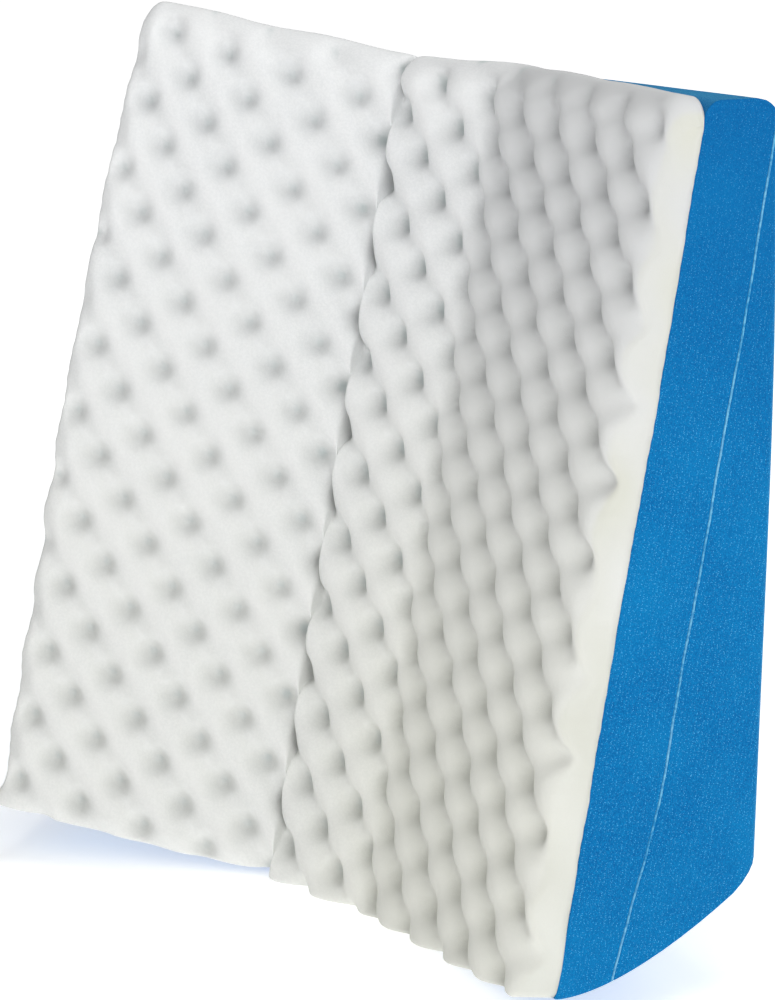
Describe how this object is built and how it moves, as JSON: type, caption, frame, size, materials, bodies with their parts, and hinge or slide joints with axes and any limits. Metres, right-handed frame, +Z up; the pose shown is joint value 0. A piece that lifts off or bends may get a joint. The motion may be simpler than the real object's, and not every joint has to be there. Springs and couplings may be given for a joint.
{
  "type": "folding bed wedge",
  "caption": "Foam back-support wedge with a concave egg-crate face; its wings fold about lines that run down the slope.",
  "frame": {"origin": "centre of the object's bounding box, at floor height, in the folded pose it is drawn in", "axes": "+Z up, the egg-crate face looks towards -Y, the wings are at -X and +X"},
  "size_m": [0.6928, 0.3676, 0.7034],
  "materials": {
    "core_foam": "matte open-cell foam",
    "adhesive": "dry contact glue",
    "topper_foam": "matte convoluted foam"
  },
  "bodies": {
    "centre": {"centre_front_slab": "core_foam", "centre_glue_line": "adhesive", "centre_rear_wedge": "core_foam", "centre_topper": "topper_foam"},
    "left_wing": {"left_wing_front_slab": "core_foam", "left_wing_glue_line": "adhesive", "left_wing_rear_wedge": "core_foam", "left_wing_topper": "topper_foam"},
    "right_wing": {"right_wing_front_slab": "core_foam", "right_wing_glue_line": "adhesive", "right_wing_rear_wedge": "core_foam", "right_wing_topper": "topper_foam"}
  },
  "joints": [
    {"name": "left_fold", "type": "hinge", "parent": "centre", "child": "left_wing", "pos_m": [-0.05762, 0.05218, 0.33227], "axis": [0, 0.2233, 0.9748], "range_deg": [-33, 12]},
    {"name": "right_fold", "type": "hinge", "parent": "centre", "child": "right_wing", "pos_m": [0.06638, 0.05218, 0.33227], "axis": [0, -0.2233, -0.9748], "range_deg": [-18, 27]}
  ]
}
